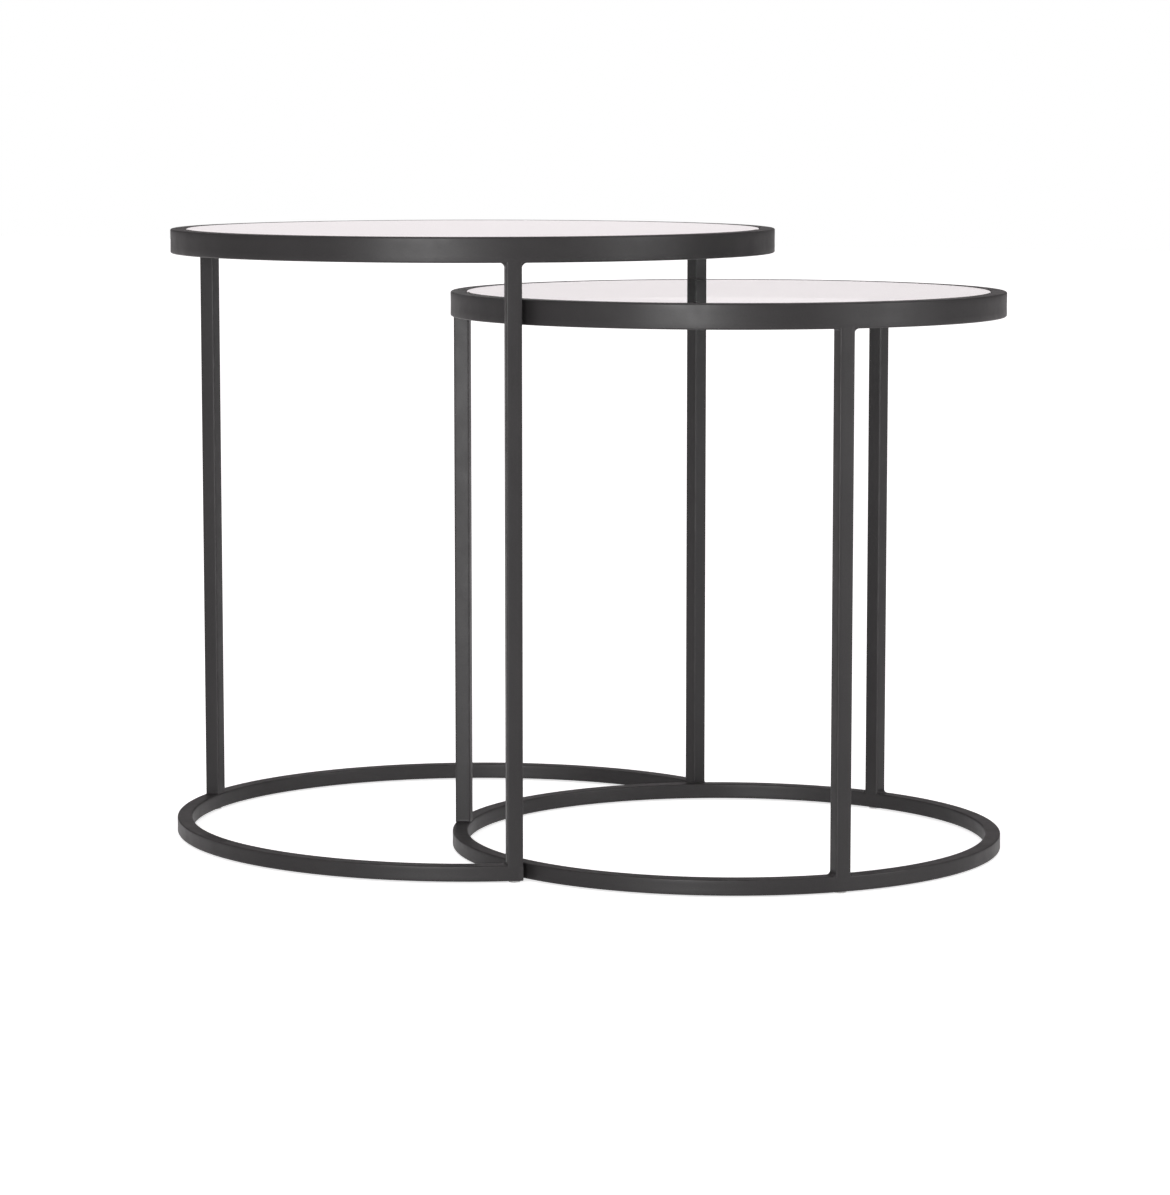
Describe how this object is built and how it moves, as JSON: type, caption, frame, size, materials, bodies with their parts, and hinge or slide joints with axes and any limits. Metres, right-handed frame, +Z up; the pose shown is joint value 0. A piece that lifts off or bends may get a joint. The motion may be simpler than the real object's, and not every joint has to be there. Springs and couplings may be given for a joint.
{
  "type": "nesting tables",
  "caption": "Round nesting side tables in black steel tube with glass tops; the lower table slides out from under the taller one.",
  "frame": {"origin": "on the floor, at the middle of the set's bounding box", "axes": "+Z up; +X is the way the small table slides out from under the large one; -Y is the front"},
  "size_m": [0.71, 0.508, 0.512],
  "materials": {
    "frame_steel": "satin black powder coat",
    "weld_steel": "satin black powder coat over weld bead",
    "clear_glass": "polished clear float glass",
    "clear_silicone": "clear soft silicone",
    "clear_glide": "clear soft plastic"
  },
  "bodies": {
    "large_table": {"large_top_rim": "frame_steel", "large_glass_ledge": "frame_steel", "large_glass_bumpers": "clear_silicone", "large_left_leg": "frame_steel", "large_front_leg": "frame_steel", "large_back_leg": "frame_steel", "large_rim_welds": "weld_steel", "large_base_welds": "weld_steel", "large_base_arc": "frame_steel", "large_base_end_caps": "frame_steel", "large_floor_glides": "clear_glide"},
    "large_glass": {"large_glass_top": "clear_glass"},
    "small_table": {"small_top_rim": "frame_steel", "small_glass_ledge": "frame_steel", "small_glass_bumpers": "clear_silicone", "small_left_leg": "frame_steel", "small_front_leg": "frame_steel", "small_back_leg": "frame_steel", "small_rim_welds": "weld_steel", "small_base_welds": "weld_steel", "small_base_ring": "frame_steel", "small_floor_glides": "clear_glide"},
    "small_glass": {"small_glass_top": "clear_glass"}
  },
  "joints": [
    {"name": "small_table_slide", "type": "slide", "parent": "large_table", "child": "small_table", "axis": [1, 0, 0], "range_m": [0, 0.3]},
    {"name": "large_glass_lift", "type": "slide", "parent": "large_table", "child": "large_glass", "axis": [0, 0, 1], "range_m": [0, 0.025]},
    {"name": "small_glass_lift", "type": "slide", "parent": "small_table", "child": "small_glass", "axis": [0, 0, 1], "range_m": [0, 0.025]}
  ]
}
